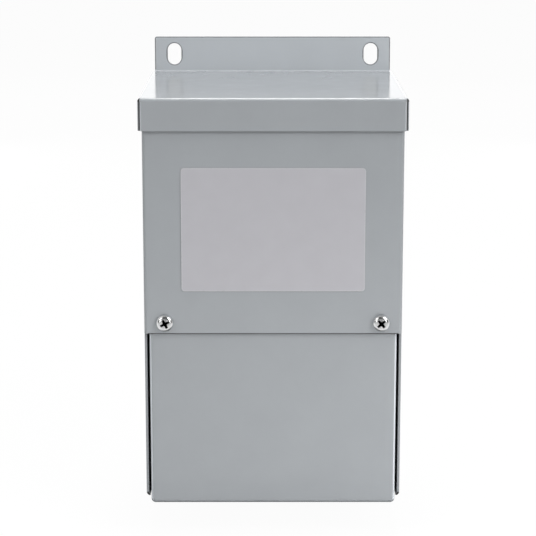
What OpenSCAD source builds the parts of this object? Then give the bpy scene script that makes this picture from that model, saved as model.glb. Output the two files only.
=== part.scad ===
// Wall-mounted buck boost transformer in a folded sheet-steel case.
// Millimetres, +Z up, front towards -Y.
// The wall is the plane y = 0 and the origin is the middle of the back plate's wall face.

/* [Case] */
// Outside width of the case, and of the back plate.
case_w = 96; // [84:0.5:140]
// Depth from the wall to the front panel's outer face.
case_d = 91.8; // [70:0.2:130]
// Height from the lid's top face to the lower edge of the side walls.
body_h = 152; // [130:0.2:200]
// Height of the opening that the wiring cover closes.
opening_h = 63.8; // [50:0.1:80]
// Thickness of the case sheet.
sheet_t = 0.9; // [0.7:0.1:1.5]
// Inside radius of every fold.
fold_in_r = 0.5; // [0.3:0.1:1.5]
// Width of the foot that is folded in at the lower end of each side wall.
foot_w = 8; // [4:0.5:11]
// How far the side walls' front edges stand back behind the front folds, beside the wiring cover.
wall_setback = 1; // [0:0.1:3]

/* [Back plate] */
// Thickness of the back plate.
plate_t = 1.2; // [0.9:0.1:2]
// Height of the mounting flange above the lid.
upper_flange_h = 14; // [12:0.2:24]
// Height of the mounting flange below the side walls.
lower_flange_h = 16; // [14:0.2:28]
// Corner radius of the back plate.
plate_corner_r = 0.9; // [0.5:0.1:4]
// Width of a mounting slot.
slot_w = 5.6; // [4.5:0.1:8]
// Length of a mounting slot, end to end.
slot_len = 8.7; // [8:0.1:11]
// Distance from a slot's middle to the flange's outer edge.
slot_edge = 7; // [6:0.1:10]
// Distance from a slot's middle to the plate's side edge.
slot_side = 8; // [6:0.1:14]

/* [Lid] */
// Thickness of the lid sheet.
lid_t = 0.9; // [0.7:0.1:1.5]
// Height of the lid's folded lips.
lip_h = 12; // [8:0.2:20]
// Clearance between the lips and the case.
lid_clear = 0.5; // [0.2:0.1:1]
// How far each end of the front lip stops short of the side lip's outer face.
lip_inset = 0.7; // [0.5:0.05:0.8]
// Width of the open seam at the lid's front corners.
lid_seam = 0.35; // [0.2:0.05:0.8]

/* [Wiring cover] */
// Gap between each side wall and the wiring cover.
cover_side_gap = 0.9; // [0.6:0.1:2]
// Thickness of the cover sheet.
cover_t = 0.9; // [0.7:0.1:1.5]
// Clearance between the front panel and the cover behind it.
cover_clear = 0.3; // [0.1:0.1:0.8]
// How far the cover reaches up behind the front panel.
cover_lap = 8; // [7:0.2:12]
// How far the cover reaches below the side walls.
cover_drop = 2.7; // [1.6:0.1:4]
// Depth of the cover's folded returns.
return_d = 12; // [8:0.5:20]
// Radius of the cover's lower corners, seen from the front.
cover_corner_r = 1.6; // [1.6:0.1:4]
// Depth to which the cover's lower corners are closed, before the open seam.
corner_closed_d = 3.6; // [2.5:0.1:7]

/* [Bottom plate] */
// Thickness of the bottom plate.
bottom_t = 0.9; // [0.7:0.1:1.5]
// Height of the bottom plate's welding flanges.
bottom_tab_h = 9; // [6:0.5:14]
// Clearance between the bottom plate and the side walls and their feet.
bottom_clear = 0.1; // [0.05:0.05:0.5]
// Clearance between the bottom plate's tongue and the cover's sheets.
tongue_clear = 0.5; // [0.3:0.1:1.5]
// Clearance between the side walls' feet and the cover's side returns.
foot_clear = 0.3; // [0.2:0.1:0.5]

/* [Knockouts] */
// Diameter of the larger knockout, for three-quarter inch conduit.
knockout_outer_d = 28.2; // [27:0.1:30]
// Diameter of the smaller knockout, for half inch conduit.
knockout_inner_d = 22.2; // [20:0.1:24]
// Width of the sheared line around a knockout.
shear_w = 0.2; // [0.1:0.05:0.4]
// How far each knockout is pushed in from the sheet around it.
knockout_step = 0.25; // [0:0.05:0.4]
// Width of the tabs that hold a knockout.
knockout_tab_w = 2.4; // [1.5:0.1:4]
// Height of the side knockouts above the lower edge of the side walls.
knockout_rise = 31; // [25:0.5:45]
// Distance from the wall to the middle of every knockout.
knockout_out = 45; // [30:0.5:60]
// Distance from the case's side to the middle of the nearer knockout in the bottom plate.
knockout_inset = 26; // [22:0.5:28]

/* [Cover screws] */
// Shank diameter of a cover screw.
screw_d = 3.5; // [2.5:0.1:4]
// Shank length of a cover screw, under the head.
screw_len = 9.5; // [6:0.5:12]
// Diameter of the pan head.
head_d = 6.6; // [5.5:0.1:8]
// Height of the pan head.
head_h = 2.2; // [1.8:0.1:3]
// Rounding of the pan head's rim.
head_round = 1.5; // [1:0.1:1.7]
// Length of the cross recess, tip to tip.
recess_len = 3.6; // [2.8:0.1:4.2]
// Width of the cross recess's wings.
recess_w = 0.9; // [0.6:0.05:1.2]
// Depth of the cross recess.
recess_depth = 1.4; // [0.8:0.1:1.6]
// Distance from the case's side to the middle of a screw.
screw_side = 7.8; // [7:0.1:14]
// Height of the screws above the front panel's lower edge.
screw_rise = 4.3; // [3.8:0.1:6]
// Clearance around the shank in the front panel.
screw_clear = 0.4; // [0.2:0.1:0.8]
// Clearance around the shank in the wiring cover.
thread_clear = 0.05; // [0.02:0.01:0.2]

/* [Nameplate] */
// Width of the bare nameplate.
nameplate_w = 67.9; // [40:0.1:80]
// Height of the bare nameplate.
nameplate_h = 46.2; // [30:0.1:56]
// Thickness of the nameplate.
nameplate_t = 0.3; // [0.2:0.05:0.8]
// Corner radius of the nameplate.
nameplate_r = 1.2; // [0.5:0.1:4]
// Distance from the lid's top face to the nameplate's top edge.
nameplate_drop = 25.7; // [16:0.1:34]

/* [Potting] */
// Clearance between the potting and the sheets around it.
resin_clear = 0.2; // [0.1:0.05:0.5]
// Gap between the potting and the wiring cover's upper edge.
resin_gap = 2; // [1:0.5:6]

/* [Hidden] */
$fn = 64;
case_fold_r = fold_in_r + sheet_t;
lid_fold_r = fold_in_r + lid_t;
cover_fold_r = fold_in_r + cover_t;
plate_h = upper_flange_h + body_h + lower_flange_h;
plate_top_z = plate_h / 2;
lid_top_z = plate_top_z - upper_flange_h;
wall_low_z = lid_top_z - body_h;
panel_low_z = wall_low_z + opening_h;
lip_low_z = lid_top_z - lip_h;
wrap_top_z = lid_top_z - lid_t - resin_clear;
lid_w = case_w + 2 * (lid_clear + lid_t);
lid_d = case_d + lid_clear + lid_t;
cover_w = case_w - 2 * (sheet_t + cover_side_gap);
cover_front = case_d - sheet_t - cover_clear;
cover_top_z = panel_low_z + cover_lap;
cover_low_z = wall_low_z - cover_drop;
cover_back = cover_front - return_d;
bottom_w = case_w - 2 * (sheet_t + bottom_clear);
bottom_z = wall_low_z + sheet_t + bottom_clear;
bottom_front = cover_front - cover_t - tongue_clear;
tongue_w = cover_w - 2 * (cover_t + tongue_clear);
tongue_back = cover_back - tongue_clear;
screw_x = case_w / 2 - screw_side;
screw_z = panel_low_z + screw_rise;
knockout_x = case_w / 2 - knockout_inset;
knockout_z = wall_low_z + knockout_rise;
resin_low_z = cover_top_z + resin_gap;
slot_x = case_w / 2 - slot_side;
slot_z = plate_top_z - slot_edge;
over = 1;
paint = [0.64, 0.66, 0.67];
label_grey = [0.72, 0.72, 0.73];
zinc = [0.82, 0.82, 0.80];
potting = [0.16, 0.15, 0.14];

// Flat shapes

module rounded_rect(w, h, r) {
    square([w - 2 * r, h], center = true);
    square([w, h - 2 * r], center = true);
    for (sx = [-1, 1], sy = [-1, 1])
        translate([sx * (w / 2 - r), sy * (h / 2 - r)])
            circle(r = r);
}

module slot_shape() {
    straight = slot_len - slot_w;
    square([slot_w, straight], center = true);
    for (s = [-1, 1])
        translate([0, s * straight / 2])
            circle(d = slot_w);
}

// Plan of a sheet with two front folds, from the plane y = -back to y = -front.
module plan_shape(w, front, back, r) {
    translate([-w / 2, -front + r])
        square([w, front - back - r]);
    translate([-w / 2 + r, -front])
        square([w - 2 * r, 2 * r]);
    for (s = [-1, 1])
        translate([s * (w / 2 - r), -front + r])
            circle(r = r);
}

// Front view with two rounded upper corners.
module arch_shape(w, low, high, r) {
    translate([-w / 2, low])
        square([w, high - low - r]);
    translate([-w / 2 + r, high - 2 * r])
        square([w - 2 * r, 2 * r]);
    for (s = [-1, 1])
        translate([s * (w / 2 - r), high - r])
            circle(r = r);
}

// Front view with two rounded lower corners.
module trough_shape(w, low, high, r) {
    mirror([0, 1])
        arch_shape(w, -high, -low, r);
}

// Side view with the upper front corner rounded.
module hood_shape(front, back, low, high, r) {
    translate([-front + r, low])
        square([front - back - r, high - low]);
    translate([-front, low])
        square([2 * r, high - low - r]);
    translate([-front + r, high - r])
        circle(r = r);
}

// Side view with the lower front corner rounded.
module apron_shape(front, back, low, high, r) {
    mirror([0, 1])
        hood_shape(front, back, -high, -low, r);
}

// Solids from the flat shapes

// Stretches a front view from the plane y = -back to y = -front.
module along_y(front, back) {
    translate([0, -back, 0])
        rotate([90, 0, 0])
            linear_extrude(height = front - back)
                children();
}

// Stretches a side view over the width w.
module along_x(w) {
    translate([-w / 2, 0, 0])
        rotate([90, 0, 90])
            linear_extrude(height = w)
                children();
}

module along_z(low, high) {
    translate([0, 0, low])
        linear_extrude(height = high - low)
            children();
}

// Runs of screw and knockout holes

module screw_holes(d) {
    for (s = [-1, 1])
        translate([s * screw_x, -case_d - over, screw_z])
            rotate([-90, 0, 0])
                cylinder(d = d, h = screw_len + 2 * over);
}

module side_holes() {
    translate([-case_w / 2 - over, -knockout_out, knockout_z])
        rotate([0, 90, 0])
            cylinder(d = knockout_outer_d, h = case_w + 2 * over);
}

module bottom_holes() {
    for (s = [-1, 1])
        translate([s * knockout_x, -knockout_out, bottom_z - over])
            cylinder(d = knockout_outer_d, h = bottom_t + 2 * over);
}

// Sheet-metal pieces

module back_plate() {
    color(paint)
        along_y(plate_t, 0)
            difference() {
                rounded_rect(case_w, plate_h, plate_corner_r);
                for (sx = [-1, 1], sz = [-1, 1])
                    translate([sx * slot_x, sz * slot_z])
                        slot_shape();
            }
}

module wrap_block(w, front, back, low, high, r) {
    intersection() {
        along_z(low, high)
            plan_shape(w, front, back, r);
        along_y(front, back)
            trough_shape(w, low, high, r);
    }
}

// Front panel and both side walls, folded from one sheet, with a narrow foot below each wall.
module case_wrap() {
    color(paint)
        difference() {
            wrap_block(case_w, case_d, plate_t, wall_low_z, wrap_top_z, case_fold_r);
            wrap_block(case_w - 2 * sheet_t, case_d - sheet_t, -over, wall_low_z + sheet_t,
                wrap_top_z + over, fold_in_r);
            translate([-case_w / 2 - over, -case_d - over, wall_low_z - over])
                cube([case_w + 2 * over, case_fold_r + wall_setback + over, opening_h + over]);
            foot_cut(case_w - 2 * foot_w, 0);
            foot_cut(cover_w + 2 * foot_clear, tongue_back);
            screw_holes(screw_d + 2 * screw_clear);
            side_holes();
        }
}

// Clears the floor between the feet over the width w, from the front back to the plane y = -back.
module foot_cut(w, back) {
    translate([-w / 2, -case_d, wall_low_z - over])
        cube([w, case_d - back, sheet_t + 2 * over]);
}

module lid_block(w, front, back, low, high, r) {
    intersection() {
        along_y(front, back)
            arch_shape(w, low, high, r);
        along_x(w)
            hood_shape(front, back, low, high, r);
    }
}

// The front corners stay open: the lips are folded down and not welded.
module lid() {
    color(paint)
        difference() {
            lid_block(lid_w, lid_d, plate_t, lip_low_z, lid_top_z, lid_fold_r);
            lid_block(lid_w - 2 * lid_t, lid_d - lid_t, plate_t - over, lip_low_z - over,
                lid_top_z - lid_t, fold_in_r);
            for (s = [0, 1])
                mirror([s, 0, 0])
                    lid_corner_cut();
        }
}

module lid_corner_cut() {
    translate([lid_w / 2 - lip_inset, -lid_d - over, lip_low_z - over])
        cube([lip_inset + over, lid_t + lid_seam + over, lip_h + 2 * over]);
    translate([lid_w / 2 - lid_t - over, -lid_d + lid_t, lip_low_z - over])
        cube([lid_t + 2 * over, lid_seam, lip_h - lid_fold_r + over]);
}

// Tray on the side walls' feet, with a narrower tongue that passes between the cover's returns.
module bottom_plate() {
    color(paint)
        difference() {
            along_y(bottom_front, plate_t)
                difference() {
                    trough_shape(bottom_w, bottom_z, bottom_z + bottom_tab_h, fold_in_r + bottom_t);
                    trough_shape(bottom_w - 2 * bottom_t, bottom_z + bottom_t,
                        bottom_z + bottom_tab_h + over, fold_in_r);
                }
            for (s = [0, 1])
                mirror([s, 0, 0])
                    translate([tongue_w / 2, -bottom_front - over, bottom_z - over])
                        cube([bottom_w, bottom_front - tongue_back + over, bottom_tab_h + 2 * over]);
            bottom_holes();
        }
}

module cover_block(w, front, back, low, high, fold, corner) {
    intersection() {
        along_z(low, high)
            plan_shape(w, front, back, fold);
        along_x(w)
            apron_shape(front, back, low, high, fold);
        along_y(front, back)
            trough_shape(w, low, high, corner);
    }
}

// Front sheet with returns at both sides and at the bottom.
module wiring_cover() {
    color(paint)
        difference() {
            cover_block(cover_w, cover_front, cover_back, cover_low_z, cover_top_z,
                cover_fold_r, cover_corner_r);
            cover_block(cover_w - 2 * cover_t, cover_front - cover_t, cover_back - over,
                cover_low_z + cover_t, cover_top_z + over, fold_in_r, cover_corner_r - cover_t);
            translate([-cover_w / 2 - over, -cover_front + cover_t, panel_low_z - cover_clear])
                cube([cover_w + 2 * over, return_d + over, cover_lap + cover_clear + over]);
            for (s = [0, 1])
                mirror([s, 0, 0])
                    cover_corner_cut();
            screw_holes(screw_d + 2 * thread_clear);
        }
}

module cover_corner_cut() {
    translate([cover_w / 2 - cover_corner_r, -cover_front + corner_closed_d, cover_low_z - over])
        cube([cover_corner_r + over, return_d, cover_corner_r + over]);
}

module nameplate() {
    color(label_grey)
        translate([0, 0, lid_top_z - nameplate_drop - nameplate_h / 2])
            along_y(case_d + nameplate_t, case_d)
                rounded_rect(nameplate_w, nameplate_h, nameplate_r);
}

// Core and coils cast into the upper case.
module resin_block() {
    color(potting)
        along_z(resin_low_z, wrap_top_z)
            plan_shape(case_w - 2 * (sheet_t + resin_clear), case_d - sheet_t - resin_clear,
                plate_t + resin_clear, fold_in_r);
}

// Pan-head screw, standing on its shank with the head's seat at z = 0.
module cover_screw() {
    color(zinc)
        difference() {
            union() {
                rotate_extrude()
                    intersection() {
                        rounded_rect(head_d, 2 * head_h, head_round);
                        square([head_d, head_h]);
                    }
                translate([0, 0, -screw_len])
                    cylinder(d = screw_d, h = screw_len + head_h - recess_depth);
            }
            translate([0, 0, head_h - recess_depth])
                linear_extrude(height = recess_depth + over) {
                    square([recess_len, recess_w], center = true);
                    square([recess_w, recess_len], center = true);
                }
            translate([0, 0, head_h - recess_depth])
                cylinder(d1 = recess_w, d2 = 2 * recess_w, h = recess_depth + over);
        }
}

module at_screw(side) {
    translate([side * screw_x, -case_d, screw_z])
        rotate([90, 0, 0])
            children();
}

module left_cover_screw() {
    at_screw(-1)
        cover_screw();
}

module right_cover_screw() {
    at_screw(1)
        cover_screw();
}

// Knockouts lie with their outer face on z = 0 and their inner face below it.

module knockout_piece(seat_d, hole_d, t, turn) {
    difference() {
        union() {
            cylinder(d = seat_d - 2 * shear_w, h = t);
            intersection() {
                cylinder(d = seat_d, h = t);
                rotate([0, 0, turn])
                    translate([-seat_d / 2, -knockout_tab_w / 2, 0])
                        cube([seat_d, knockout_tab_w, t]);
            }
        }
        if (hole_d > 0)
            translate([0, 0, -over])
                cylinder(d = hole_d, h = t + 2 * over);
    }
}

module knockout_ring(t) {
    color(paint)
        translate([0, 0, -t - knockout_step])
            knockout_piece(knockout_outer_d, knockout_inner_d, t, 45);
}

module knockout_disc(t) {
    color(paint)
        translate([0, 0, -t - 2 * knockout_step])
            knockout_piece(knockout_inner_d, 0, t, 135);
}

module at_side(side) {
    translate([side * case_w / 2, -knockout_out, knockout_z])
        rotate([0, side * 90, 0])
            children();
}

module at_bottom(side) {
    translate([side * knockout_x, -knockout_out, bottom_z])
        rotate([180, 0, 0])
            children();
}

module left_knockout_ring() {
    at_side(-1)
        knockout_ring(sheet_t);
}

module left_knockout_disc() {
    at_side(-1)
        knockout_disc(sheet_t);
}

module right_knockout_ring() {
    at_side(1)
        knockout_ring(sheet_t);
}

module right_knockout_disc() {
    at_side(1)
        knockout_disc(sheet_t);
}

module bottom_left_knockout_ring() {
    at_bottom(-1)
        knockout_ring(bottom_t);
}

module bottom_left_knockout_disc() {
    at_bottom(-1)
        knockout_disc(bottom_t);
}

module bottom_right_knockout_ring() {
    at_bottom(1)
        knockout_ring(bottom_t);
}

module bottom_right_knockout_disc() {
    at_bottom(1)
        knockout_disc(bottom_t);
}

back_plate();
case_wrap();
lid();
bottom_plate();
wiring_cover();
nameplate();
resin_block();
left_cover_screw();
right_cover_screw();
left_knockout_ring();
left_knockout_disc();
right_knockout_ring();
right_knockout_disc();
bottom_left_knockout_ring();
bottom_left_knockout_disc();
bottom_right_knockout_ring();
bottom_right_knockout_disc();
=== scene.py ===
# %% [markdown]
# # A small transformer in a folded steel case
# The object is a wall-mounted transformer: a resin block inside a case of thin grey sheet steel, with a
# screwed cover over its wiring. The solids come packed from the CAD step. Here they are dressed: each
# sheet is folded again in Blender with soft painted edges, and gets a finish built from shader nodes.

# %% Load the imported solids
import math

import bmesh
import bpy
from mathutils import Matrix, Vector


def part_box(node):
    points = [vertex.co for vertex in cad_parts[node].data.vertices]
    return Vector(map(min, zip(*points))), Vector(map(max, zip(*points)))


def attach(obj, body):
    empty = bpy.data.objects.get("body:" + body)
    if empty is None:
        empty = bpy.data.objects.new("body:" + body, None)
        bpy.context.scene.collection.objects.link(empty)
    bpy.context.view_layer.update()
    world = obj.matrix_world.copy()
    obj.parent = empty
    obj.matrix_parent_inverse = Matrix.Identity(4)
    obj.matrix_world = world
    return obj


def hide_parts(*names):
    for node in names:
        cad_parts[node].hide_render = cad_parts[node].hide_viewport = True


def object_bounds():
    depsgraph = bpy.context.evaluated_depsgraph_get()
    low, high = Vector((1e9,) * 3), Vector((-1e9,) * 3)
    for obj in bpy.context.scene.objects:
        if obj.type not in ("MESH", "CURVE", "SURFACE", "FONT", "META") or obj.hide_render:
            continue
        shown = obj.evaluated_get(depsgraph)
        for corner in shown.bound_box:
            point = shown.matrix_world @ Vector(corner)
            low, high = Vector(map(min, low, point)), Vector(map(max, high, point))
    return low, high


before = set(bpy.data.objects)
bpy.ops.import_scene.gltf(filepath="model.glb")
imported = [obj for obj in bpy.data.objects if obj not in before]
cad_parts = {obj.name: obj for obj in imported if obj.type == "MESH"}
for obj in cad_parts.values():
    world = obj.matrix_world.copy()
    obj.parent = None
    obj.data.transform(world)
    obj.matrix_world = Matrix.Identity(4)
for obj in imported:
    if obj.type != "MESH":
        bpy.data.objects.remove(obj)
cad_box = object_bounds()
print("solids:", ", ".join(sorted(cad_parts)))

# %% [markdown]
# ## Camera
# The photograph was taken from a little above, with a long lens. A camera can be moved about by eye until
# its picture looks right, but a fit is surer: the place and the focal length below were fitted to a dozen
# corners of the case. They put the camera about 0.7 m in front of it, looking 12 degrees down.

# %% Camera
PHOTO_PX = 536
FOCAL_PX = 1909.3
SENSOR_MM = 36.0
eye = Vector((-0.0024, -0.7818, 0.1615))
aim = Vector((-0.0019, -0.0918, 0.01395))
camera = bpy.data.objects.new("camera", bpy.data.cameras.new("camera"))
camera.location = eye
camera.rotation_euler = (aim - eye).to_track_quat("-Z", "Y").to_euler()
camera.data.sensor_width = SENSOR_MM
camera.data.lens = SENSOR_MM * FOCAL_PX / PHOTO_PX
bpy.context.scene.collection.objects.link(camera)
bpy.context.scene.camera = camera
bpy.context.scene.view_settings.view_transform = "Standard"
print(f"camera: lens {camera.data.lens:.1f} mm, {(aim - eye).length:.3f} m from the front panel")

# %% [markdown]
# ## Nodes
# Worlds and finishes are built from shader nodes. Each node takes three or four lines to make and link, so
# a helper does that in one call, and a few more cover the kinds that come up again and again.


# %% Node helpers
def add_node(tree, kind, settings=None, **inputs):
    """Adds a shader node. Settings are its own properties, and inputs are socket values or links."""
    made = tree.nodes.new(kind)
    for name, value in (settings or {}).items():
        setattr(made, name, value)
    for name, value in inputs.items():
        by_number = name[0] == "i" and name[1:].isdigit()
        socket = made.inputs[int(name[1:])] if by_number else made.inputs[name]
        if isinstance(value, bpy.types.NodeSocket):
            tree.links.new(value, socket)
        else:
            socket.default_value = value
    return made


def ramp(tree, value, start, stop, first, last, ease="SMOOTHSTEP"):
    """Turns the range from start to stop into the range from first to last."""
    return add_node(tree, "ShaderNodeMapRange", {"interpolation_type": ease}, i0=value, i1=start, i2=stop,
                    i3=first, i4=last).outputs[0]


def maths(tree, operation, first, second):
    """Joins two numbers with a Math node."""
    return add_node(tree, "ShaderNodeMath", {"operation": operation}, i0=first, i1=second).outputs[0]


def mix(tree, share, first, second):
    """Goes from the first number to the second as share goes from 0 to 1."""
    return add_node(tree, "ShaderNodeMix", i0=share, i2=first, i3=second).outputs[0]


def mirror_like(tree, rays):
    """Is 1 for a ray that comes off a mirror-like surface or through a clear one, and 0 for others."""
    return maths(tree, "MAXIMUM", rays.outputs["Is Glossy Ray"], rays.outputs["Is Transmission Ray"])


print("node helpers are ready")

# %% [markdown]
# ## World
# The backdrop is plain white. Lighting the object with that much white would wash it out, so the Light Path
# node splits the world: the camera sees pure white, mirror-like rays see the white backdrop too, and the
# rest of the rays get a lower, even fill. A real studio is darker behind the camera than at the backdrop,
# so the reflected white falls off towards the front. Bright metal needs that difference to look like metal.

# %% World
FILL = 0.30
BEHIND_CAMERA = 0.12
world = bpy.data.worlds.new("studio")
world.use_nodes = True
bpy.context.scene.world = world
sky = world.node_tree
sky.nodes.clear()
sky_rays = add_node(sky, "ShaderNodeLightPath")
direction = add_node(sky, "ShaderNodeTexCoord").outputs["Generated"]
backwards = add_node(sky, "ShaderNodeSeparateXYZ", i0=direction).outputs["Y"]
reflected = ramp(sky, backwards, -0.45, 0.25, BEHIND_CAMERA, 1.0)
lit = mix(sky, mirror_like(sky, sky_rays), FILL, reflected)
shown = mix(sky, sky_rays.outputs["Is Camera Ray"], lit, 1.0)
backdrop = add_node(sky, "ShaderNodeBackground", Color=(1, 1, 1, 1), Strength=shown)
add_node(sky, "ShaderNodeOutputWorld", Surface=backdrop.outputs[0])
print(f"world: white backdrop, fill {FILL}")

# %% [markdown]
# ## Floor
# The floor is a sheet of white paper that runs back into the backdrop. A studio's paper curves up behind the
# object, but here the world is the backdrop, so a wide flat grid does, at the height of the object's lowest
# point.


# %% Floor
def to_object(name, bm):
    """Turns a bmesh into an object of the scene."""
    mesh = bpy.data.meshes.new(name)
    bm.to_mesh(mesh)
    bm.free()
    made = bpy.data.objects.new(name, mesh)
    bpy.context.scene.collection.objects.link(made)
    return made


FLOOR_REACH = 4.0
floor_z = cad_box[0][2]
bm = bmesh.new()
bmesh.ops.create_grid(bm, x_segments=2, y_segments=2, size=FLOOR_REACH)
bmesh.ops.translate(bm, vec=(0, 0, floor_z), verts=bm.verts)
floor = to_object("floor", bm)
print(f"floor at z = {floor_z * 1000:.1f} mm")

# %% [markdown]
# ## White paper
# The paper mostly glows by itself, so that it melts into the backdrop, and a small share of it stays matt
# and keeps the soft shadow under the object. A glow knows no shade, though, and the paper under the object
# is darker than the rest. So a smooth ramp over the distance from the object darkens it there, for
# mirror-like rays strongly and for the light that bounces up a little. It also gets dimmer towards the
# camera. From below the paper is clear, so that the underside of the object can be looked at.


# %% White paper
def blank_material(name):
    """A material whose node tree is empty."""
    made = bpy.data.materials.new(name)
    made.use_nodes = True
    made.node_tree.nodes.clear()
    return made


GLOW_SHARE = 0.96
SHADE_FROM, SHADE_TO = 0.055, 0.13
paper = blank_material("white_paper")
sheet = paper.node_tree
rays = add_node(sheet, "ShaderNodeLightPath")
from_camera = rays.outputs["Is Camera Ray"]
seen = maths(sheet, "MAXIMUM", mirror_like(sheet, rays), from_camera)
share = maths(sheet, "MULTIPLY", seen, GLOW_SHARE)
where = add_node(sheet, "ShaderNodeTexCoord").outputs["Object"]
away = add_node(sheet, "ShaderNodeVectorMath", {"operation": "DISTANCE"}, i0=where,
                i1=(0, -0.05, floor_z)).outputs["Value"]
bounce = ramp(sheet, away, SHADE_FROM, SHADE_TO, 0.30, 0.36)
white = add_node(sheet, "ShaderNodeMix", {"data_type": "RGBA"}, i0=from_camera, i6=bounce,
                 i7=(0.95, 0.95, 0.95, 1)).outputs[2]
matt = add_node(sheet, "ShaderNodeBsdfDiffuse", Color=white)
along = add_node(sheet, "ShaderNodeSeparateXYZ", i0=where).outputs["Y"]
dimmed = ramp(sheet, along, -0.9, -0.1, 0.35, 1.0, "LINEAR")
shaded = ramp(sheet, away, SHADE_FROM, SHADE_TO, 0.08, 1.0)
level = mix(sheet, from_camera, maths(sheet, "MULTIPLY", dimmed, shaded), 1.0)
glow = add_node(sheet, "ShaderNodeEmission", Color=(1, 1, 1, 1), Strength=level)
both = add_node(sheet, "ShaderNodeMixShader", i0=share, i1=matt.outputs[0], i2=glow.outputs[0])
below = add_node(sheet, "ShaderNodeNewGeometry").outputs["Backfacing"]
clear = add_node(sheet, "ShaderNodeBsdfTransparent")
one_way = add_node(sheet, "ShaderNodeMixShader", i0=below, i1=both.outputs[0], i2=clear.outputs[0])
add_node(sheet, "ShaderNodeOutputMaterial", Surface=one_way.outputs[0])
floor.data.materials.append(paper)
print(f"white paper: {len(sheet.nodes)} nodes, glow share {GLOW_SHARE}")

# %% [markdown]
# ## Lamps
# Softboxes are wide flat lamps, and their size matters as much as their power: a fold in glossy paint shows
# their reflection as a bright line. One stands on each side, the right one stronger, and a weaker pair
# stands further in front. A small strong one hangs overhead for the bright line along the lid's front fold,
# and a wide dim one stands at the backdrop for the lid to mirror. The last four only fill: one from above,
# a low reflector in front of the cover, and two behind, so that the back is lit as plainly as the front.
# Mirror-like rays don't see these four, because a flat sheet would show them as bright patches.


# %% Softboxes
def softbox(name, place, target, width, height, radiance):
    """A flat lamp of the given brightness, hidden from the camera and seen in reflections."""
    lamp = bpy.data.lights.new(name, "AREA")
    lamp.shape = "RECTANGLE"
    lamp.size = width
    lamp.size_y = height
    lamp.energy = radiance * math.pi * width * height
    box = bpy.data.objects.new(name, lamp)
    box.location = place
    box.rotation_euler = (Vector(target) - Vector(place)).to_track_quat("-Z", "Y").to_euler()
    box.visible_camera = False
    bpy.context.scene.collection.objects.link(box)
    print(f"{name}: {lamp.energy:.1f} W")
    return box


heart = (0, -0.05, 0)
softbox("left_softbox", (-0.75, -0.75, 0.62), heart, 0.50, 0.60, 2.9)
softbox("right_softbox", (0.62, -0.66, 0.62), heart, 0.50, 0.60, 4.9)
softbox("front_left_softbox", (-0.75, -1.45, 0.15), heart, 0.50, 0.40, 2.3)
softbox("front_right_softbox", (0.75, -1.45, 0.15), heart, 0.50, 0.40, 2.3)
softbox("overhead_softbox", (0.02, 0.26, 0.95), heart, 0.26, 0.70, 9.0)
softbox("backdrop_softbox", (0.10, 1.40, 0.30), heart, 2.00, 0.50, 0.45)
fill_lamps = [
    softbox("top_softbox", (0, -0.30, 1.00), heart, 0.50, 0.30, 3.2),
    softbox("front_reflector", (0.08, -0.22, -0.06), (0, -0.09, -0.075), 0.50, 0.05, 2.2),
    softbox("back_left_fill", (-0.55, 0.75, 0.0), (0, 0, 0), 0.60, 0.14, 6.0),
    softbox("back_right_fill", (0.55, 0.75, 0.0), (0, 0, 0), 0.60, 0.14, 7.0),
]
for fill_lamp in fill_lamps:
    fill_lamp.visible_glossy = False

# %% [markdown]
# ## Grey card
# A glossy lid mirrors what stands behind it when it is seen at a low angle: the flange, and the bright
# backdrop through the flange's slots. A photographer hides such bright spots with a grey card behind the
# slots. The card here is one upright face that glows a fixed grey and that only mirror-like rays see: a
# painted grey reflection in the lid.

# %% Grey card
CARD_W, CARD_H = 0.094, 0.022
CARD_PLACE = (0, 0.012, 0.084)
UPRIGHT = Matrix.Rotation(math.pi / 2, 3, "X")
bm = bmesh.new()
bmesh.ops.create_grid(bm, x_segments=1, y_segments=1, size=0.5)
bmesh.ops.scale(bm, vec=(CARD_W, CARD_H, 1), verts=bm.verts)
bmesh.ops.rotate(bm, cent=(0, 0, 0), matrix=UPRIGHT, verts=bm.verts)
bmesh.ops.translate(bm, vec=CARD_PLACE, verts=bm.verts)
card = to_object("grey_card", bm)
for ray in ("camera", "diffuse", "transmission", "volume_scatter", "shadow"):
    setattr(card, f"visible_{ray}", False)
card_grey = blank_material("card_grey")
# The card glows instead of being lit: its grey is a painted reflection.
card_glow = add_node(card_grey.node_tree, "ShaderNodeEmission", Color=(0.42, 0.44, 0.45, 1), Strength=1.0)
add_node(card_grey.node_tree, "ShaderNodeOutputMaterial", Surface=card_glow.outputs[0])
card.data.materials.append(card_grey)
print("grey card behind the upper slots")

# %% [markdown]
# ## Grey enamel
# The case is dipped or powder-coated in light grey enamel. Seen close, such paint is never one flat colour:
# it has a faint mottle, an orange-peel surface of tiny waves a millimetre or two wide, a gloss that varies
# a little, and here and there a pinhead pit. A picture of paint could be wrapped round the case, but three
# noise textures and a Voronoi texture on Object coordinates need no unwrapping, and stay on the sheet.


# %% Enamel
def two_tone(tree, value, dark, light):
    """Runs from a dark shade to a light one over the middle of a noise."""
    tint = add_node(tree, "ShaderNodeValToRGB", Fac=value)
    for stop, position, colour in zip(tint.color_ramp.elements, (0.3, 0.7), (dark, light)):
        stop.position = position
        stop.color = (*colour, 1)
    return tint.outputs["Color"]


def dress_shader(tree, colour, rough, normal):
    """Links colour, roughness and surface to the material's own shader."""
    shader = tree.nodes["Principled BSDF"]
    tree.links.new(colour, shader.inputs["Base Color"])
    tree.links.new(rough, shader.inputs["Roughness"])
    tree.links.new(normal, shader.inputs["Normal"])
    return shader


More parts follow.
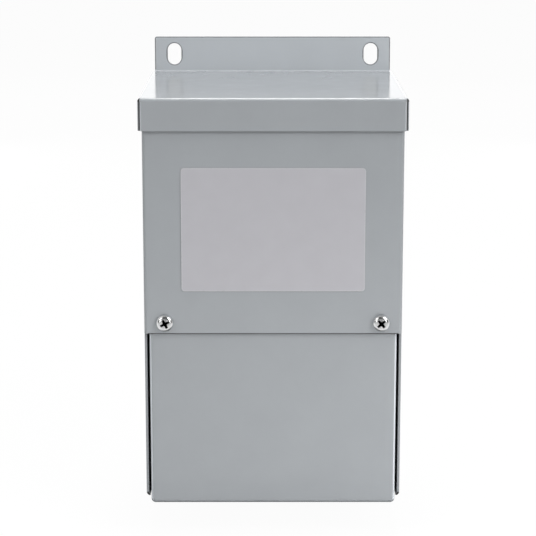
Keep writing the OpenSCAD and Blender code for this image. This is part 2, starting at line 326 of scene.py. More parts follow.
def enamel(name, colour, rough=0.13):
    """Grey stove enamel: faint mottle in the colour, orange-peel waves, pits and slightly uneven gloss."""
    mottled, uneven = 0.02, 0.02
    wave_height, pit_depth = 0.0000015, 0.00003
    paint = bpy.data.materials.new(name)
    paint.use_nodes = True
    tree = paint.node_tree
    place = add_node(tree, "ShaderNodeTexCoord").outputs["Object"]
    mottle = add_node(tree, "ShaderNodeTexNoise", Vector=place, Scale=55.0, Detail=4.0, Roughness=0.6)
    tint = two_tone(tree, mottle.outputs["Fac"], [c * (1 - mottled) for c in colour],
                    [c * (1 + mottled) for c in colour])
    cloud = add_node(tree, "ShaderNodeTexNoise", Vector=place, Scale=160.0, Detail=3.0).outputs["Fac"]
    gloss = ramp(tree, cloud, 0.3, 0.7, rough - uneven, rough + uneven, "LINEAR")
    peel = add_node(tree, "ShaderNodeTexNoise", Vector=place, Scale=620.0, Detail=2.0, Roughness=0.4)
    waves = add_node(tree, "ShaderNodeBump", Height=peel.outputs["Fac"], Strength=1.0, Distance=wave_height)
    spread = add_node(tree, "ShaderNodeTexVoronoi", Vector=place, Scale=83.0).outputs["Distance"]
    pits = add_node(tree, "ShaderNodeBump", Height=ramp(tree, spread, 0.01, 0.04, 0.0, 1.0), Strength=1.0,
                    Distance=pit_depth, Normal=waves.outputs["Normal"])
    dress_shader(tree, tint, gloss, pits.outputs["Normal"])
    print(f"{name}: colour {[round(c, 3) for c in colour]}, roughness about {rough}")
    return paint


print("the enamel's recipe is ready")

# %% [markdown]
# ## Paints of the case
# Paint isn't the same everywhere on a sheet. Cut edges hold less of it and look darker. A near-black paint
# is painted shade on sheared edges in narrow gaps and corners, and two lighter ones are painted highlights on
# the cover's upright folds and the lid's lip ends. The back plate's lighter paint is painted light for the
# brighter flange. Each of these is a mix of the same grey, so one function serves them all.

# %% Paints of the case
GREY = (0.350, 0.369, 0.387)


def grey(factor):
    """The case's grey, made lighter or darker."""
    return [c * factor for c in GREY]


case_paint = enamel("grey_enamel", GREY)
# The back plate's grey is 1.45 times lighter: painted light for the brighter flange.
lit_plate_paint = enamel("plate_enamel_painted_light", grey(1.45))
edge_paint = enamel("thin_edge_enamel", grey(0.6), rough=0.45)
wall_edge_paint = enamel("wall_edge_enamel", grey(0.82), rough=0.3)
# A lighter grey for the painted highlight on the lid's front lip ends.
lip_end_highlight_paint = enamel("painted_highlight_enamel", grey(1.4), rough=0.2)
# About twice as light: the painted highlight along the cover's upright folds.
fold_highlight_paint = enamel("painted_fold_highlight_enamel", grey(2.05), rough=0.2)
# A near-black paint: painted shade on edges that lie in narrow gaps and corners.
shade_edge_paint = enamel("painted_shade_edge", (0.035, 0.035, 0.036), rough=0.5)

# %% [markdown]
# ## Zinc, label film and potting
# The screws are bright zinc: a metal with low roughness and the fine unevenness of a plated blank. Their
# recess walls get a much darker zinc, as painted shade in the recess. The label is a satin film, a shade
# lighter and less green than the paint, with a lighter margin that is partly its clear top layer and partly
# a painted highlight along its edge. The potting is black resin. They differ in their numbers only, so one
# recipe makes them all: a slow noise for the colour, and a fine one for gloss and surface.


# %% Other finishes
def plain_finish(name, dark, light, rough, metal=0.0, grain=900.0, depth=0.000004):
    """A finish whose colour runs between two shades, with a fine grain in gloss and surface."""
    made = bpy.data.materials.new(name)
    made.use_nodes = True
    tree = made.node_tree
    place = add_node(tree, "ShaderNodeTexCoord").outputs["Object"]
    cloud = add_node(tree, "ShaderNodeTexNoise", Vector=place, Scale=grain / 6, Detail=4.0).outputs["Fac"]
    tint = two_tone(tree, cloud, dark, light)
    fine = add_node(tree, "ShaderNodeTexNoise", Vector=place, Scale=grain, Detail=3.0).outputs["Fac"]
    gloss = ramp(tree, fine, 0.3, 0.7, rough * 0.85, rough * 1.15, "LINEAR")
    bump = add_node(tree, "ShaderNodeBump", Height=fine, Strength=1.0, Distance=depth)
    shader = dress_shader(tree, tint, gloss, bump.outputs["Normal"])
    shader.inputs["Metallic"].default_value = metal
    print(f"{name}: roughness about {rough}")
    return made


ZINC = {"metal": 1.0, "grain": 2600.0}
FILM = {"depth": 0.000002}
# A dark zinc: painted shade on the walls of the cross recess.
recess_shade_zinc = plain_finish("recess_shade_zinc", (0.10, 0.105, 0.11), (0.22, 0.225, 0.23), 0.3, **ZINC)
zinc = plain_finish("bright_zinc", (0.74, 0.75, 0.76), (0.84, 0.84, 0.83), 0.16, **ZINC)
label_film = plain_finish("label_film", (0.451, 0.446, 0.475), (0.465, 0.461, 0.490), 0.36, **FILM)
# The lighter margin: partly the clear top layer, partly a painted highlight along the edge.
label_edge_highlight = plain_finish("label_edge_highlight", (0.50, 0.50, 0.525), (0.515, 0.515, 0.54), 0.3, **FILM)
black_resin = plain_finish("black_resin", (0.022, 0.021, 0.020), (0.034, 0.032, 0.030), 0.45, grain=300.0)

# %% [markdown]
# ## Working sheet metal
# A press brake does two things to a sheet: it leaves it flat, or it folds it round a hinge line. Two small
# helpers do the same to a chain of edges: `run` pulls it along as a flat, and `fold` spins it round a hinge.
# The sheet is drawn as its outer skin only, and solidify then gives it its thickness, inwards. A bevelled
# block would be quicker, but it has no inside, and its corners can't be open.

# %% Folding helpers
SHEET = 0.0009
FOLD_R = 0.0014
FOLD_STEPS = 8
NEAR = 1e-6
MERGE = 1e-7
X, Y, Z = Vector((1, 0, 0)), Vector((0, 1, 0)), Vector((0, 0, 1))


def only(geom, kind):
    """The vertices, edges or faces in what an operator gives back."""
    return [g for g in geom if isinstance(g, kind)]


def run(bm, edges, move):
    """Pulls a chain of edges along as a flat piece of sheet, and gives the new end of the sheet."""
    made = bmesh.ops.extrude_edge_only(bm, edges=edges)["geom"]
    ends = only(made, bmesh.types.BMVert)
    bmesh.ops.translate(bm, vec=move, verts=ends)
    return [e for e in only(made, bmesh.types.BMEdge) if all(v in ends for v in e.verts)]


def fold(bm, edges, hinge, axis, degrees):
    """Spins a chain of edges round a hinge line, and gives the new end of the sheet."""
    ends = list({v for e in edges for v in e.verts})
    made = bmesh.ops.spin(bm, geom=ends + list(edges), cent=hinge, axis=axis, dvec=(0, 0, 0),
                          angle=math.radians(degrees), steps=FOLD_STEPS, space=Matrix())
    return only(made["geom_last"], bmesh.types.BMEdge)


def edges_where(bm, test):
    """The edges whose two ends both pass a test on their place."""
    return [e for e in bm.edges if all(test(v.co) for v in e.verts)]


def thicken(bm, thickness, inside):
    """Merges doubles, turns the skin outwards, and thickens it inwards. Gives the faces of the cut edges."""
    bmesh.ops.remove_doubles(bm, verts=bm.verts, dist=MERGE)
    bmesh.ops.recalc_face_normals(bm, faces=bm.faces)
    bm.normal_update()
    turned = sum(f.normal.dot(f.calc_center_median() - inside) * f.calc_area() for f in bm.faces)
    if turned < 0:
        bmesh.ops.reverse_faces(bm, faces=bm.faces)
    skin = set(bm.verts)
    bmesh.ops.solidify(bm, geom=bm.faces[:], thickness=thickness)
    bm.normal_update()
    return [f for f in bm.faces if 0 < sum(v in skin for v in f.verts) < len(f.verts)]


print(f"sheet: {SHEET * 1000:.1f} mm thick, folded at a radius of {FOLD_R * 1000:.1f} mm")

# %% [markdown]
# ## Cutting, rounding and painting
# Three more jobs come up on most pieces: a straight cut right across the sheet, an edge or corner that is
# rounded off, and a set of faces that gets another paint. The bevel operator's defaults differ from the
# editor's, so the second helper says what it needs in full. A face names its paint by a number, its place
# in the piece's list of finishes: on a sheet, 0 is its own paint, and 1 is the paint of its cut edges.

# %% Cutting helpers
SHEET_FACE, CUT_EDGE = 0, 1


def cut_across(bm, place, way):
    """Cuts all faces along the plane through a place, and keeps both sides."""
    bmesh.ops.bisect_plane(bm, geom=bm.verts[:] + bm.edges[:] + bm.faces[:], dist=MERGE, plane_co=place,
                           plane_no=way)


def round_off(bm, geom, radius, segments, affect="EDGES"):
    """Rounds edges or corners, and gives the new faces."""
    return bmesh.ops.bevel(bm, geom=geom, offset=radius, offset_type="OFFSET", segments=segments,
                           profile=0.5, affect=affect, material=-1)["faces"]


def paint_faces(faces, paint):
    """Gives faces the paint of that number in the piece's list."""
    for face in faces:
        face.material_index = paint


print("cutting helpers are ready")

# %% [markdown]
# ## Holes
# A hole in a flat sheet is framed first: four straight cuts make a square cell round it. The cell's face
# goes, and its outline is cut into short edges. A second outline is pulled out of the first one and drawn in
# to a circle, so each of its points keeps its own neighbour and the sheet between them can't twist. A slot
# is a circle whose two halves are moved apart. A Boolean modifier could cut holes too, but it leaves long
# thin faces that spoil the soft edges.

# %% Hole helper
RIM_CUTS = 12


def open_hole(bm, place, radius, across, up, margin=0.0012, stretch=0.0):
    """Cuts a round hole, or a slot that is longer by stretch along up."""
    place, across, up = Vector(place), Vector(across), Vector(up)
    reach_across, reach_up = radius + margin, radius + margin + stretch / 2
    for reach, way in ((reach_across, across), (reach_up, up)):
        for sign in (-1, 1):
            cut_across(bm, place + sign * reach * way, way)
    cell = min(bm.faces, key=lambda f: (f.calc_center_median() - place).length)
    frame_edges = list(cell.edges)
    bmesh.ops.delete(bm, geom=[cell], context="FACES_ONLY")
    split = bmesh.ops.subdivide_edges(bm, edges=frame_edges, cuts=RIM_CUTS)["geom_split"]
    rim = run(bm, only(split, bmesh.types.BMEdge), Vector())
    for v in {v for e in rim for v in e.verts}:
        from_middle = v.co - place
        on_circle = Vector((from_middle.dot(across) / reach_across, from_middle.dot(up) / reach_up))
        on_circle = on_circle.normalized() * radius
        shift = math.copysign(stretch / 2, on_circle.y)
        v.co = place + across * on_circle.x + up * (on_circle.y + shift)


print(f"hole helper: {4 * (RIM_CUTS + 1)} points round a hole")

# %% [markdown]
# ## Finishing a piece
# Every finished sheet goes through the same last steps: its mesh becomes an object, a Bevel modifier rounds
# the cut edges as paint does, and weighted normals keep the flats flat beside the folds. The edges could be
# bevelled in the mesh too, but the modifier finds them all by their angle. Then the piece rides on the
# object's one body and takes the place of its solid.

# %% Finishing helper
SHARP = math.radians(40)


def finish_piece(name, bm, finishes, nodes, soft=0.00018, rim=-1):
    """Turns a bmesh into a finished piece that stands for the named solids."""
    piece = to_object(name, bm)
    mesh = piece.data
    for finish in finishes:
        mesh.materials.append(finish)
    mesh.shade_smooth()
    rounding = piece.modifiers.new("soft_edges", "BEVEL")
    rounding.width = soft
    rounding.segments = 2
    rounding.material = rim
    rounding.limit_method = "ANGLE"
    rounding.angle_limit = SHARP
    flats = piece.modifiers.new("flat_flats", "WEIGHTED_NORMAL")
    flats.weight = 90
    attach(piece, "root")
    if nodes:
        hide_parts(*nodes)
    size = [round(d * 1000, 1) for d in piece.dimensions]
    print(f"{name}: {len(mesh.polygons)} faces, {size} mm")


print(f"edges sharper than {math.degrees(SHARP):.0f} degrees get rounded")

# %% [markdown]
# ## Back plate
# The back plate carries everything and stands out above and below as two mounting flanges, each with two
# upright slots. It could start as a flat box, but then each slot would have to be cut through two faces.
# So it starts as one face with four small rounded corners. The slots are cut, and the plate is thickened.


# %% Back plate
def rounded_face(bm, low, high, corner):
    """An upright face on the front plane of a box, with rounded corners."""
    seed = 2 * corner
    bmesh.ops.create_grid(bm, x_segments=1, y_segments=1, size=seed)
    round_off(bm, bm.verts[:], corner, 6, "VERTICES")
    bmesh.ops.rotate(bm, cent=(0, 0, 0), matrix=UPRIGHT, verts=bm.verts)
    spread_x = (high.x - low.x) / 2 - seed
    spread_z = (high.z - low.z) / 2 - seed
    middle = (low + high) / 2
    for v in bm.verts:
        v.co += Vector((math.copysign(spread_x, v.co.x), 0, math.copysign(spread_z, v.co.z)))
    bmesh.ops.translate(bm, vec=(middle.x, low.y, middle.z), verts=bm.verts)


PLATE_CORNER, PLATE_SOFT = 0.0009, 0.0004
SLOT_X, SLOT_Z = 0.040, 0.084
SLOT_R, SLOT_STRETCH = 0.0028, 0.0031
low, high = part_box("back_plate")
bm = bmesh.new()
rounded_face(bm, low, high, PLATE_CORNER)
for slot_x in (-SLOT_X, SLOT_X):
    for slot_z in (-SLOT_Z, SLOT_Z):
        open_hole(bm, (slot_x, low.y, slot_z), SLOT_R, X, Z, stretch=SLOT_STRETCH)
paint_faces(thicken(bm, high.y - low.y, Vector((0, high.y, 0))), CUT_EDGE)
# The plate's lighter paint is painted light.
finish_piece("back_plate_sheet", bm, [lit_plate_paint, edge_paint], ["back_plate"],
             soft=PLATE_SOFT, rim=CUT_EDGE)

# %% [markdown]
# ## Case wrap
# Front panel and side walls are one sheet with two upright folds. The chain starts at the left wall's back
# edge and goes round: flat, fold, flat, fold, flat. Below the front panel only the side walls go on, so
# their lower edges are pulled down afterwards and folded in as two feet. In front, beside the cover, a foot
# is no wider than its fold.


# %% Case wrap, folded
def middle_of(node):
    """The middle of a solid's box."""
    return [(a + b) / 2 for a, b in zip(*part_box(node))]


PANEL_BELOW_SCREW = 0.0043
WALL_SETBACK = 0.001
RETURN_GAP = 0.0005
FOOT_W = 0.008
low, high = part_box("case_wrap")
wall_x, wall_foot = high.x, low.z
screw_x, _, screw_z = middle_of("right_cover_screw")
panel_low = screw_z - PANEL_BELOW_SCREW
wall_front = low.y + FOLD_R + WALL_SETBACK
return_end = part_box("wiring_cover")[1].y + RETURN_GAP
bm = bmesh.new()
first = [bm.verts.new((low.x, high.y, z)) for z in (panel_low, high.z)]
end = run(bm, [bm.edges.new(first)], Y * (low.y + FOLD_R - high.y))
end = fold(bm, end, (low.x + FOLD_R, low.y + FOLD_R, 0), Z, 90)
end = run(bm, end, X * (high.x - low.x - 2 * FOLD_R))
end = fold(bm, end, (high.x - FOLD_R, low.y + FOLD_R, 0), Z, 90)
run(bm, end, Y * (high.y - low.y - FOLD_R))
for cut_y in (wall_front, return_end):
    cut_across(bm, (0, cut_y, 0), Y)
lower = edges_where(bm, lambda co: co.z < panel_low + NEAR and co.y > wall_front - NEAR)
lower = run(bm, lower, Z * (wall_foot + FOLD_R - panel_low))
for side in (-1, 1):
    foot = [e for e in lower if side * e.verts[0].co.x > 0]
    foot = fold(bm, foot, (side * (wall_x - FOLD_R), 0, wall_foot + FOLD_R), Y, side * 90)
    wide = [e for e in foot if all(v.co.y > return_end - NEAR for v in e.verts)]
    run(bm, wide, X * side * (FOLD_R - FOOT_W))
print(f"case wrap: panel's lower edge at z = {panel_low * 1000:.1f} mm, {len(bm.faces)} faces of skin")

# %% [markdown]
# The panel has two screw holes, and each wall has a knockout hole. Once the sheet has its thickness, its cut
# edges get their paints: thin paint on most, more on the walls' front edges, and near-black painted shade on
# the feet's front ends, which lie in the dark gap beside the cover. The panel's lower edge is rounded and
# gets the same near-black paint: a painted shadow line above the cover.

# %% Case wrap, cut and painted
HALFWAY_BACK = -0.045
PANEL_HOLE_R = 0.00215
KNOCKOUT_R, KNOCKOUT_MARGIN = 0.0141, 0.002
PANEL_EDGE_R = 0.00035
_, knockout_y, knockout_z = middle_of("right_knockout_ring")
for side in (-1, 1):
    open_hole(bm, (side * screw_x, low.y, screw_z), PANEL_HOLE_R, X, Z)
    open_hole(bm, (side * wall_x, knockout_y, knockout_z), KNOCKOUT_R, Y, Z, margin=KNOCKOUT_MARGIN)
SHADE_EDGE, WALL_EDGE = 2, 3
# The near-black paint here is painted shade: the feet's front ends lie in the dark gap beside the cover.
for face in thicken(bm, SHEET, Vector((0, HALFWAY_BACK, 0))):
    middle = face.calc_center_median()
    face.material_index = CUT_EDGE
    if middle.z < wall_foot + SHEET and abs(middle.y - return_end) < NEAR:
        face.material_index = SHADE_EDGE
    if middle.z < panel_low and abs(middle.y - wall_front) < NEAR:
        face.material_index = SHADE_EDGE if middle.z < wall_foot + FOLD_R else WALL_EDGE
# The panel's rounded lower edge gets the near-black paint: a painted shadow line.
panel_edge = edges_where(bm, lambda co: abs(co.z - panel_low) < NEAR and co.y < low.y + NEAR)
paint_faces(round_off(bm, panel_edge, PANEL_EDGE_R, 3), SHADE_EDGE)
case_paints = [case_paint, edge_paint, shade_edge_paint, wall_edge_paint]
finish_piece("case_wrap_sheet", bm, case_paints, ["case_wrap"])

# %% [markdown]
# ## Lid
# The lid is a flat sheet with three lips folded down: front, left and right. The corners are not welded:
# the front lip ends just inside the side lips, and the side lips' cut front edges show as dark lines beside
# it: their near-black paint is painted shade of the narrow gap in the corner. A box with rounded edges would
# be quicker, but it has closed corners, so the lid is folded like the real one. The front lip is a little
# wider than the flat it hangs on, so the front edge gets an ear at each end before it is folded.

# %% Lid, folded
low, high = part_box("lid")
lid_top = high.z
lip_drop = Z * (low.z - high.z + FOLD_R)
flat_x = high.x - FOLD_R
flat_y = low.y + FOLD_R
lip_x = high.x - SHEET
bm = bmesh.new()
corners = [(-flat_x, high.y), (-flat_x, flat_y), (flat_x, flat_y), (flat_x, high.y)]
bm.faces.new([bm.verts.new((x, y, lid_top)) for x, y in corners])
for side in (-1, 1):
    side_edge = edges_where(bm, lambda co: abs(co.x - side * flat_x) < NEAR and co.z > lid_top - NEAR)
    end = fold(bm, side_edge, (side * flat_x, 0, lid_top - FOLD_R), Y, side * 90)
    run(bm, end, lip_drop)
front_edge = edges_where(bm, lambda co: abs(co.y - flat_y) < NEAR and co.z > lid_top - NEAR)
for v in list(front_edge[0].verts):
    ear = bm.verts.new((math.copysign(lip_x, v.co.x), v.co.y, v.co.z))
    front_edge.append(bm.edges.new((v, ear)))
end = fold(bm, front_edge, (0, flat_y, lid_top - FOLD_R), X, 90)
run(bm, end, lip_drop)
print(f"lid: lips {(high.z - low.z) * 1000:.1f} mm high, {len(bm.faces)} faces of skin")

# %% [markdown]
# The cut edges get thin paint, and the corner's own edges near-black painted shade. The ends of the front lip
# are rounded and painted lighter, as a painted highlight, and the side lips' outer corners are rounded under
# full paint.

# %% Lid, painted
CORNER_REACH = 0.0003
LIP_END_R, SIDE_END_R = 0.0006, 0.0004
LIP_END_HIGHLIGHT = 3
# The corner's own cut edges get the near-black paint: painted shade of the gap there.
for face in thicken(bm, SHEET, Vector((0, HALFWAY_BACK, low.z))):
    middle = face.calc_center_median()
    in_corner = abs(middle.x) > lip_x - CORNER_REACH and middle.y < flat_y + CORNER_REACH
    face.material_index = SHADE_EDGE if in_corner else CUT_EDGE
# The rounded front lip ends get the lighter paint: a painted highlight.
lip_ends = edges_where(bm, lambda co: abs(abs(co.x) - lip_x) < NEAR and co.y < low.y + NEAR)
paint_faces(round_off(bm, lip_ends, LIP_END_R, 5), LIP_END_HIGHLIGHT)
side_ends = edges_where(bm, lambda co: abs(abs(co.x) - high.x) < NEAR and abs(co.y - flat_y) < NEAR)
paint_faces(round_off(bm, side_ends, SIDE_END_R, 4), SHEET_FACE)
finish_piece("lid_sheet", bm, [case_paint, edge_paint, shade_edge_paint, lip_end_highlight_paint], ["lid"])

# %% [markdown]
# ## Seam bead
# Where the lid's back edge meets the back plate, paint runs into the corner and leaves a small hollow bead.
# A curve with a bevel could run along there, but the bead needs a flat back and a flat foot. So a point spun
# a quarter turn draws the hollow, two straight edges close the outline, and it is pulled along.

# %% Seam bead
BEAD, BEAD_SINK = 0.0007, 0.00005
plate_low, plate_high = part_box("back_plate")
bead_y, bead_z = plate_low.y + BEAD_SINK, lid_top - BEAD_SINK
bm = bmesh.new()
bead_front = bm.verts.new((plate_low.x, bead_y - BEAD, bead_z))
hollow = bmesh.ops.spin(bm, geom=[bead_front], cent=(0, bead_y - BEAD, bead_z + BEAD), axis=X, dvec=(0, 0, 0),
                        angle=math.pi / 2, steps=6, space=Matrix())
bead_top = only(hollow["geom_last"], bmesh.types.BMVert)[0]
bead_root = bm.verts.new((plate_low.x, bead_y, bead_z))
bm.edges.new((bead_top, bead_root))
bm.edges.new((bead_root, bead_front))
outline = bmesh.ops.edgeloop_fill(bm, edges=bm.edges[:])["faces"]
grown = bmesh.ops.extrude_face_region(bm, geom=outline)["geom"]
bead_run = X * (plate_high.x - plate_low.x)
bmesh.ops.translate(bm, vec=bead_run, verts=only(grown, bmesh.types.BMVert))
bmesh.ops.recalc_face_normals(bm, faces=bm.faces)
# The bead takes the back plate's lighter paint, which is painted light.
finish_piece("seam_bead", bm, [lit_plate_paint], [], soft=0.00005)

# %% [markdown]
# ## Wiring cover
# The cover is a shallow tray: a front sheet with returns at both sides and at the bottom, and round lower
# corners. A tray is quicker to round off than to fold: it starts as a box without its top and back, and the
# bevel operator first rounds the two corners and then the fold along the whole front outline. Above, a flat
# lap goes up behind the panel and takes the screws.

# %% Wiring cover, shaped
LAP_GAP = 0.0003
CORNER_R = 0.0016
COVER_HOLE_R = 0.0018
low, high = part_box("wiring_cover")
cover_x, cover_foot = high.x, low.z
tray_top = panel_low - LAP_GAP
bm = bmesh.new()
size = Matrix.Diagonal((high.x - low.x, high.y - low.y, tray_top - low.z, 1))
centre = Matrix.Translation(((low.x + high.x) / 2, (low.y + high.y) / 2, (low.z + tray_top) / 2))
bmesh.ops.create_cube(bm, size=1.0, matrix=centre @ size)
bm.normal_update()
open_sides = [f for f in bm.faces if f.normal.z > 0.9 or f.normal.y > 0.9]
bmesh.ops.delete(bm, geom=open_sides, context="FACES")
corner_edges = []
for side in (-1, 1):
    corner_edges += edges_where(bm, lambda co: co.z < cover_foot + NEAR and side * co.x > cover_x - NEAR)
round_off(bm, corner_edges, CORNER_R, 6)
front_outline = [e for e in edges_where(bm, lambda co: co.y < low.y + NEAR)
                 if not all(v.co.z > tray_top - NEAR for v in e.verts)]
round_off(bm, front_outline, FOLD_R, 6)
lap = edges_where(bm, lambda co: co.y < low.y + NEAR and co.z > tray_top - NEAR)
run(bm, lap, Z * (high.z - tray_top))
for side in (-1, 1):
    open_hole(bm, (side * screw_x, low.y, screw_z), COVER_HOLE_R, X, Z)
print(f"wiring cover: lap {(high.z - tray_top) * 1000:.1f} mm high, {len(bm.faces)} faces of skin")

# %% [markdown]
# Sheet can't be folded round a corner, so behind the front fold the returns are slit apart there. The
# upright folds' outer faces get a grey about twice as light: a painted highlight along each fold. A face is
# picked by its normal: turned outwards and forwards, and neither up nor down.

# %% Wiring cover, slit and painted
SLIT_BEHIND_FRONT = 0.0036
FOLD_HIGHLIGHT = 2
slit_y = low.y + SLIT_BEHIND_FRONT
cut_across(bm, (0, slit_y, 0), Y)
slits = [f for f in bm.faces if all(v.co.y > slit_y - NEAR and v.co.z < cover_foot + CORNER_R + NEAR
                                    and abs(v.co.x) > cover_x - CORNER_R - NEAR for v in f.verts)]
bmesh.ops.delete(bm, geom=slits, context="FACES")
paint_faces(thicken(bm, SHEET, Vector((0, 0, (low.z + high.z) / 2))), CUT_EDGE)
# The folds' outer faces get the light grey: a painted highlight.
on_folds = [f for f in bm.faces if f.normal.y < 0 and 0.55 < abs(f.normal.x) < 0.95 and abs(f.normal.z) < 0.1]
highlit = [f for f in on_folds if f.normal.x * f.calc_center_median().x > 0]
paint_faces(highlit, FOLD_HIGHLIGHT)
print(f"wiring cover: {len(highlit)} worn faces on the upright folds")
cover_paints = [case_paint, edge_paint, fold_highlight_paint]
finish_piece("wiring_cover_sheet", bm, cover_paints, ["wiring_cover"])

# %% [markdown]
# ## Bottom plate
# The bottom plate closes the wiring space and lies on the side walls' feet. Its side flanges fold up against
# the walls, a narrower tongue runs forward between the cover's returns, and two holes hold knockouts. The
# sheet is pulled forward from its back edge in two steps, because only its middle part goes on as tongue.

# %% Bottom plate
TONGUE_GAP = 0.0005
BOTTOM_KNOCKOUT_X = 0.022
low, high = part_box("bottom_plate")
plate_z = low.z
flat_x = high.x - FOLD_R
tongue_x = cover_x - SHEET - TONGUE_GAP
bm = bmesh.new()
back = [bm.verts.new((x, high.y, low.z)) for x in (-flat_x, -tongue_x, tongue_x, flat_x)]
strip = [bm.edges.new(pair) for pair in zip(back, back[1:])]
strip_front = run(bm, strip, Y * (return_end - high.y))
tongue = [e for e in strip_front if all(abs(v.co.x) < tongue_x + NEAR for v in e.verts)]
run(bm, tongue, Y * (low.y - return_end))
for side in (-1, 1):
    side_edge = edges_where(bm, lambda co: abs(co.x - side * flat_x) < NEAR)
    end = fold(bm, side_edge, (side * flat_x, 0, low.z + FOLD_R), Y, -side * 90)
    run(bm, end, Z * (high.z - low.z - FOLD_R))
for side in (-1, 1):
    hole_place = (side * BOTTOM_KNOCKOUT_X, knockout_y, plate_z)
    open_hole(bm, hole_place, KNOCKOUT_R, X, Y, margin=KNOCKOUT_MARGIN)
# Its cut edges get the near-black paint: painted shade, as they lie in the gap beside the cover.
paint_faces(thicken(bm, SHEET, Vector((0, HALFWAY_BACK, high.z))), CUT_EDGE)
finish_piece("bottom_plate_sheet", bm, [case_paint, shade_edge_paint], ["bottom_plate"])

# %% [markdown]
# ## Knockouts
# A knockout is punched almost free: a ring and a disc, each held by two small tabs and pushed in a quarter
# of a millimetre from what is around it. Grooves in the sheet would look much the same, but each of these
# can be knocked out, so they are pieces of their own. The outline is one circle, or two with a bridge
# between them. A few of its edges are pulled out to the sheet around as tabs.

# %% Knockout recipe
PUNCH_GAP = 0.0002
TAB_REACH = 0.0014


def knockout(node, stand, outer, inner, depth, tab_angle):
    """A punched ring or disc with two tabs, lying on its stand with its outer face on z = 0."""
    bm = bmesh.new()
    rim = bmesh.ops.create_circle(bm, radius=outer - PUNCH_GAP, segments=96)["verts"]
    outline = list({e for v in rim for e in v.link_edges})
    if inner:
        hole = bmesh.ops.create_circle(bm, radius=inner, segments=96)["verts"]
        bmesh.ops.bridge_loops(bm, edges=outline + list({e for v in hole for e in v.link_edges}))
    else:
        bmesh.ops.edgeloop_fill(bm, edges=outline)
    for turn in (0, math.pi):
        reach = Vector((math.cos(tab_angle + turn), math.sin(tab_angle + turn), 0))
        tab = [e for e in outline if all((v.co - reach * outer).length < TAB_REACH for v in e.verts)]
        run(bm, tab, reach * PUNCH_GAP)
    bmesh.ops.translate(bm, vec=(0, 0, -depth), verts=bm.verts)
    paint_faces(thicken(bm, SHEET, Vector((0, 0, -1))), CUT_EDGE)
    bmesh.ops.transform(bm, matrix=stand, verts=bm.verts)
    finish_piece(f"{node}_sheet", bm, [case_paint, edge_paint], [node], soft=0.0001)


print(f"knockouts: a gap of {PUNCH_GAP * 1000:.1f} mm is punched round them")

# %% [markdown]
# Each knockout is made lying down with its outer face up, and a matrix stands it in its hole: turned to the
# side for a wall, and upside down for the bottom plate. The ring's tabs stand a quarter turn from the
# disc's, so that the disc can come out alone.

# %% Knockouts
DISC_R = 0.0111
RING_DEPTH, DISC_DEPTH = 0.00025, 0.0005


def knockout_pair(side, stand):
    """The ring and the disc of one knockout."""
    knockout(f"{side}_knockout_ring", stand, KNOCKOUT_R, DISC_R, RING_DEPTH, math.pi / 4)
    knockout(f"{side}_knockout_disc", stand, DISC_R, 0, DISC_DEPTH, math.pi * 0.75)


for side, sign in (("left", -1), ("right", 1)):
    in_wall = Matrix.Translation((sign * wall_x, knockout_y, knockout_z))
    knockout_pair(side, in_wall @ Matrix.Rotation(sign * math.pi / 2, 4, "Y"))
    in_bottom = Matrix.Translation((sign * BOTTOM_KNOCKOUT_X, knockout_y, plate_z))
    knockout_pair(f"bottom_{side}", in_bottom @ Matrix.Rotation(math.pi, 4, "X"))

# %% [markdown]
# ## Cover screws
# Two pan-head screws with a cross recess hold the cover. Stacked cylinders would leave a step where the
# head's crown is round. A screw is round all over, so head and shank are one profile, spun round the axis.
# The profile stops short of the axis at the top, and leaves the head open there for the recess.

# %% Screw blank
SHANK_R, POINT_R, POINT_H = 0.00175, 0.0013, 0.0006
HEAD_R, CROWN_R, HEAD_FLAT_R = 0.0033, 0.00138, 0.0019
CROWN_DROP = 0.0002


def spun_blank(bm, head, shank):
    """Spins head and shank round the axis. Gives the edges round the open top of the head."""
    profile = [(0, -shank), (POINT_R, -shank), (SHANK_R, -shank + POINT_H), (SHANK_R, 0),
               (HEAD_R, 0), (HEAD_R, head - CROWN_DROP), (HEAD_FLAT_R, head)]
    points = [bm.verts.new((r, 0, z)) for r, z in profile]
    for pair in zip(points, points[1:]):
        bm.edges.new(pair)
    round_off(bm, [points[5]], CROWN_R, 7, "VERTICES")
    bmesh.ops.spin(bm, geom=bm.verts[:] + bm.edges[:], cent=(0, 0, 0), axis=Z, dvec=(0, 0, 0),
                   angle=math.tau, steps=48, use_merge=True, space=Matrix())
    bmesh.ops.remove_doubles(bm, verts=bm.verts, dist=MERGE)
    return [e for e in bm.edges if e.is_boundary]


print(f"screw blank: head {HEAD_R * 2000:.1f} mm across, shank {SHANK_R * 2000:.1f} mm")

# %% [markdown]
# The recess is struck into the head with a tapered cross. A cross outline is bridged to the open top of the
# head, pulled down, drawn in to a taper, and closed at its floor. The walls get the dark zinc: painted shade
# in the recess.

# %% Cross recess
ARM_TIP, ARM_HALF = 0.00177, 0.00046
RECESS_DEPTH, RECESS_TAPER = 0.0009, 0.6
RECESS_WALL = 1


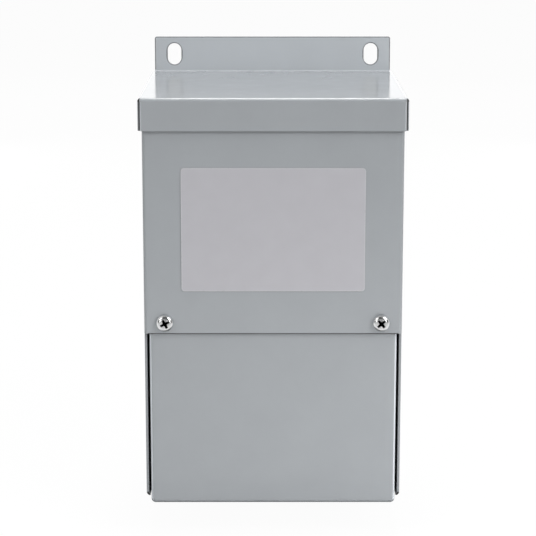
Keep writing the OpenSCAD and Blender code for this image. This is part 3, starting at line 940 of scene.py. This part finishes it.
def cross_recess(bm, rim, head):
    """Closes the open top of the head with a tapered cross recess, and paints its walls."""
    tip, half = ARM_TIP, ARM_HALF
    corners = [(half, tip), (half, half), (tip, half), (tip, -half), (half, -half), (half, -tip),
               (-half, -tip), (-half, -half), (-tip, -half), (-tip, half), (-half, half), (-half, tip)]
    cross = [bm.verts.new((x, y, head)) for x, y in corners]
    arms = [bm.edges.new((cross[i - 1], cross[i])) for i in range(len(cross))]
    arms = only(bmesh.ops.subdivide_edges(bm, edges=arms, cuts=3)["geom_split"], bmesh.types.BMEdge)
    bmesh.ops.bridge_loops(bm, edges=rim + arms)
    recess = run(bm, arms, Z * -RECESS_DEPTH)
    recess_verts = list({v for e in recess for v in e.verts})
    bmesh.ops.scale(bm, vec=(RECESS_TAPER, RECESS_TAPER, 1), verts=recess_verts)
    bmesh.ops.edgeloop_fill(bm, edges=recess)
    # The recess walls get the dark zinc: painted shade.
    walls = [f for f in bm.faces if 0 < sum(v in recess_verts for v in f.verts) < len(f.verts)]
    paint_faces(walls, RECESS_WALL)


print(f"cross recess: {ARM_TIP * 2000:.1f} mm across, {RECESS_DEPTH * 1000:.1f} mm deep")

# %% [markdown]
# The head's underside sits on the front panel, and its height and the shank's length come from the solid's
# box. Nobody stops two screws at the same angle, so the recesses are turned differently.


# %% Screws
def pan_head_screw(name, node, turn):
    """A zinc pan-head screw whose cross recess is turned by the given angle."""
    low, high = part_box(node)
    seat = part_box("case_wrap")[0].y
    head, shank = seat - low.y, high.y - seat
    bm = bmesh.new()
    rim = spun_blank(bm, head, shank)
    cross_recess(bm, rim, head)
    bmesh.ops.recalc_face_normals(bm, faces=bm.faces)
    middle = middle_of(node)
    stand = Matrix.Translation((middle[0], seat, middle[2]))
    stand = stand @ Matrix.Rotation(math.pi / 2, 4, "X") @ Matrix.Rotation(turn, 4, "Z")
    bmesh.ops.transform(bm, matrix=stand, verts=bm.verts)
    finish_piece(name, bm, [zinc, recess_shade_zinc], [node], soft=0.00005)


pan_head_screw("left_screw", "left_cover_screw", math.radians(27))
pan_head_screw("right_screw", "right_cover_screw", math.radians(41))

# %% [markdown]
# ## Label
# The label is a bare satin film with round corners. Its clear top layer overlaps the film by a fraction of
# a millimetre, and the lighter margin along the edge is partly that layer and partly a painted highlight.
# That could be a second film on top, but two faces so close together flicker through each other, so the
# margin is an inset ring of the same face.

# %% Label
LABEL_CORNER, LABEL_MARGIN = 0.0012, 0.0004
EDGE_HIGHLIGHT_FACE = 1
low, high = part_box("nameplate")
bm = bmesh.new()
rounded_face(bm, low, high, LABEL_CORNER)
# The inset ring and the cut edges get the lighter margin: partly a painted highlight.
margin = bmesh.ops.inset_region(bm, faces=bm.faces[:], thickness=LABEL_MARGIN, use_boundary=True,
                                use_even_offset=True)["faces"]
paint_faces(margin, EDGE_HIGHLIGHT_FACE)
paint_faces(thicken(bm, high.y - low.y, Vector((0, 0, (low.z + high.z) / 2))), EDGE_HIGHLIGHT_FACE)
finish_piece("label", bm, [label_film, label_edge_highlight], ["nameplate"], soft=0.00008)

# %% [markdown]
# ## Potting
# The core and its coils are cast into black resin, which fills the upper case. The block is closed in, so a
# finer mesh would never be seen: its solid stays as it is and only gets its finish.

# %% Potting
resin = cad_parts["resin_block"]
resin.data.materials.clear()
resin.data.materials.append(black_resin)
print("resin_block keeps its solid")
